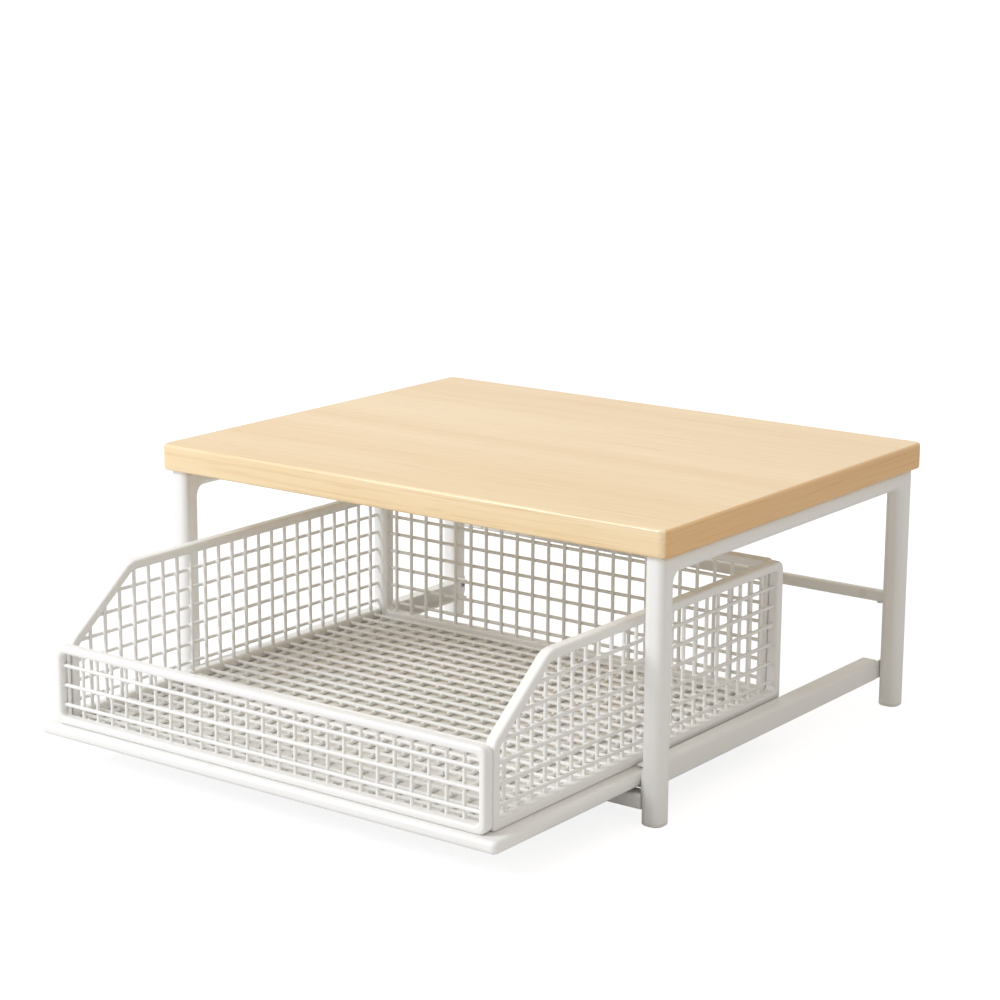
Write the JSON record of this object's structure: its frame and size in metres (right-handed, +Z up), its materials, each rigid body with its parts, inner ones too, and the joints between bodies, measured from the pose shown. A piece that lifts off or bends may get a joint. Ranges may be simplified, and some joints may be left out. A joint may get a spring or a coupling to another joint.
{
  "type": "microwave stand with drawer",
  "caption": "Low countertop stand with a wooden board on white tube legs and a pull-out wire basket drawer sliding in channel runners below it.",
  "frame": {"origin": "on the floor, below the middle of the stored stand's bounding box, drawer pulled part way out", "axes": "+X to the right along the front, +Y from the drawer front to the back, +Z up"},
  "size_m": [0.5, 0.57, 0.23],
  "materials": {
    "board": "light maple laminate, satin",
    "frame_steel": "warm white powder coat",
    "wire_steel": "warm white powder coat on welded wire",
    "fasteners": "zinc plated",
    "nylon": "white nylon",
    "bumpers": "pale silicone rubber"
  },
  "bodies": {
    "stand": {"top_board": "board", "side_frame_right": "frame_steel", "side_frame_left": "frame_steel", "front_crossbar": "frame_steel", "back_crossbar": "frame_steel", "runner_right": "frame_steel", "runner_left": "frame_steel", "board_screws": "fasteners", "crossbar_screws": "fasteners", "runner_screws": "fasteners", "foot_plug_front_right": "nylon", "foot_plug_front_left": "nylon", "foot_plug_back_right": "nylon", "foot_plug_back_left": "nylon", "glide_strip_right": "nylon", "glide_strip_left": "nylon", "bumper_right": "bumpers", "bumper_left": "bumpers"},
    "drawer": {"drawer_tray": "frame_steel", "floor_mesh": "wire_steel", "tray_screws": "fasteners", "corner_pins": "fasteners", "rear_shoe_right": "nylon", "rear_shoe_left": "nylon", "front_panel_frame": "frame_steel", "front_panel_mesh": "wire_steel", "side_panel_frame_right": "frame_steel", "side_panel_mesh_right": "wire_steel", "side_panel_frame_left": "frame_steel", "side_panel_mesh_left": "wire_steel", "back_panel_frame": "frame_steel", "back_panel_mesh": "wire_steel"}
  },
  "joints": [
    {"name": "drawer_slide", "type": "slide", "parent": "stand", "child": "drawer", "axis": [0, -1, 0], "range_m": [-0.1455, 0.06]}
  ]
}
